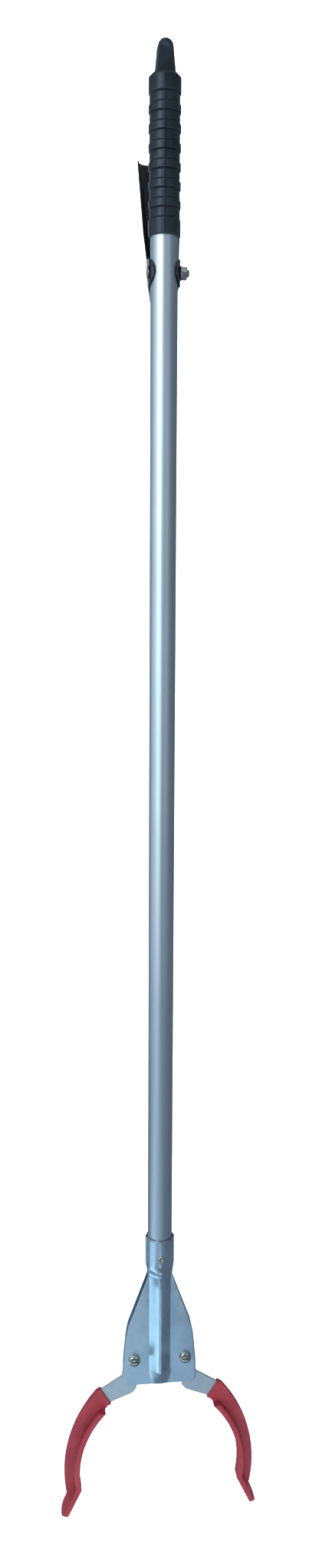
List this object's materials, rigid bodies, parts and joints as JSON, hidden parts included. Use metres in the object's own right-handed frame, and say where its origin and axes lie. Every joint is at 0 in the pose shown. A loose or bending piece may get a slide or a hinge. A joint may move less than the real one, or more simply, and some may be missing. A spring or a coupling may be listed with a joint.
{
  "type": "reacher grabber",
  "caption": "Hand-held reacher grabber: a squeeze lever beside a ribbed grip pulls a rod down a long tube and closes two curved rubber-covered jaws.",
  "frame": {"origin": "centre of the hanging hole in the tab at the top of the grip", "axes": "+X along the hanging hole, to the right as the jaws' front is seen; +Y towards the lever's side; +Z along the tube towards the handle"},
  "size_m": [0.1606, 0.0556, 1.1089],
  "materials": {
    "tube_aluminium": "satin drawn",
    "grip_rubber": "matte moulded",
    "lever_paint": "gloss black",
    "fastener_steel": "bright plated",
    "rod_steel": "drawn",
    "guide_plastic": "natural",
    "spring_steel": "drawn",
    "plate_zinc": "zinc plated",
    "rivet_aluminium": "bright",
    "jaw_zinc": "zinc plated",
    "cover_rubber": "dipped satin",
    "screw_steel": "bright plated"
  },
  "bodies": {
    "frame": {"tube": "tube_aluminium", "grip": "grip_rubber", "pivot_bolt": "fastener_steel", "pivot_washer": "fastener_steel", "pivot_nut": "fastener_steel", "rod_guide": "guide_plastic", "return_spring": "spring_steel", "head_plate_front": "plate_zinc", "head_plate_back": "plate_zinc", "collar_rivets": "rivet_aluminium", "jaw_bush_left": "rod_steel", "jaw_bush_right": "rod_steel", "jaw_washers_left": "rod_steel", "jaw_washers_right": "rod_steel", "jaw_screw_left": "screw_steel", "jaw_screw_right": "screw_steel", "jaw_nut_left": "fastener_steel", "jaw_nut_right": "fastener_steel"},
    "lever": {"trigger_lever": "lever_paint"},
    "rod": {"pull_rod": "rod_steel", "spring_washer": "rod_steel", "rod_clip": "spring_steel", "crossbar_front": "plate_zinc", "crossbar_back": "plate_zinc", "crossbar_pin_left": "rod_steel", "crossbar_pin_right": "rod_steel", "rod_pin": "rod_steel"},
    "jaw_left": {"jaw_arm_left": "jaw_zinc", "jaw_cover_left": "cover_rubber"},
    "jaw_right": {"jaw_arm_right": "jaw_zinc", "jaw_cover_right": "cover_rubber"}
  },
  "joints": [
    {"name": "lever_squeeze", "type": "hinge", "parent": "frame", "child": "lever", "pos_m": [0, 0, -0.1389], "axis": [1, 0, 0], "range_deg": [0, 19.6], "stiffness_Nm_per_rad": 2, "springref_deg": -14.32},
    {"name": "rod_lift", "type": "slide", "parent": "frame", "child": "rod", "axis": [0, 0, 1], "range_m": [0, 0.00432], "deforming": ["return_spring"]},
    {"name": "left_jaw_close", "type": "hinge", "parent": "frame", "child": "jaw_left", "pos_m": [-0.0205, 0, -0.9636], "axis": [0, -1, 0], "range_deg": [0, 29.9]},
    {"name": "right_jaw_close", "type": "hinge", "parent": "frame", "child": "jaw_right", "pos_m": [0.0205, 0, -0.9636], "axis": [0, 1, 0], "range_deg": [0, 29.9]}
  ],
  "couplings": [
    {"joint": "rod_lift", "follows": "lever_squeeze", "m_per_rad": 0.012599},
    {"joint": "left_jaw_close", "follows": "lever_squeeze", "ratio": 1.5204},
    {"joint": "right_jaw_close", "follows": "lever_squeeze", "ratio": 1.5204}
  ]
}
